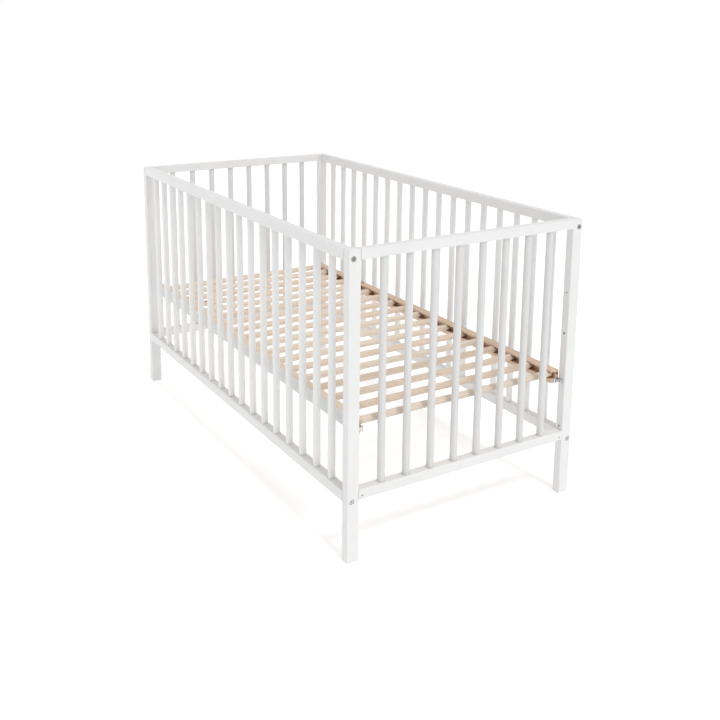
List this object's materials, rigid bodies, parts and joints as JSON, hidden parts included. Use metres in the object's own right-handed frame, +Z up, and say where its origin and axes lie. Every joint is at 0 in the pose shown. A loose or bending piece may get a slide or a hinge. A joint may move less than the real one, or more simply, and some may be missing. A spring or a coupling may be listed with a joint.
{
  "type": "baby crib",
  "caption": "White-painted slatted baby crib with round spindles on all sides and a height-adjustable wooden dowel base hung between the posts.",
  "frame": {"origin": "on the floor under the middle of the crib", "axes": "+X along the crib, +Y across it, +Z up"},
  "size_m": [1.466, 0.758, 0.823],
  "materials": {
    "white_paint": "satin white paint over wood",
    "bare_pine": "bare sanded pine",
    "zinc_steel": "bright zinc plate",
    "dark_steel": "dark zinc plate"
  },
  "bodies": {
    "frame": {"post_front_left": "white_paint", "post_back_left": "white_paint", "end_top_rail_left": "white_paint", "end_bottom_rail_left": "white_paint", "end_spindles_left": "white_paint", "post_front_right": "white_paint", "post_back_right": "white_paint", "end_top_rail_right": "white_paint", "end_bottom_rail_right": "white_paint", "end_spindles_right": "white_paint", "side_top_rail_front": "white_paint", "side_bottom_rail_front": "white_paint", "side_spindles_front": "white_paint", "side_top_rail_back": "white_paint", "side_bottom_rail_back": "white_paint", "side_spindles_back": "white_paint", "frame_bolts": "zinc_steel", "barrel_nuts": "zinc_steel", "side_rail_pins": "bare_pine", "end_rail_pins": "bare_pine", "lock_screws": "dark_steel", "insert_nuts": "zinc_steel", "base_bolts": "zinc_steel"},
    "base": {"base_beam_front": "bare_pine", "base_beam_back": "bare_pine", "base_dowels": "bare_pine", "base_brackets": "zinc_steel", "beam_bolts": "zinc_steel"}
  },
  "joints": [
    {"name": "base_lift", "type": "slide", "parent": "frame", "child": "base", "axis": [0, 0, 1], "range_m": [0, 0.144]}
  ]
}
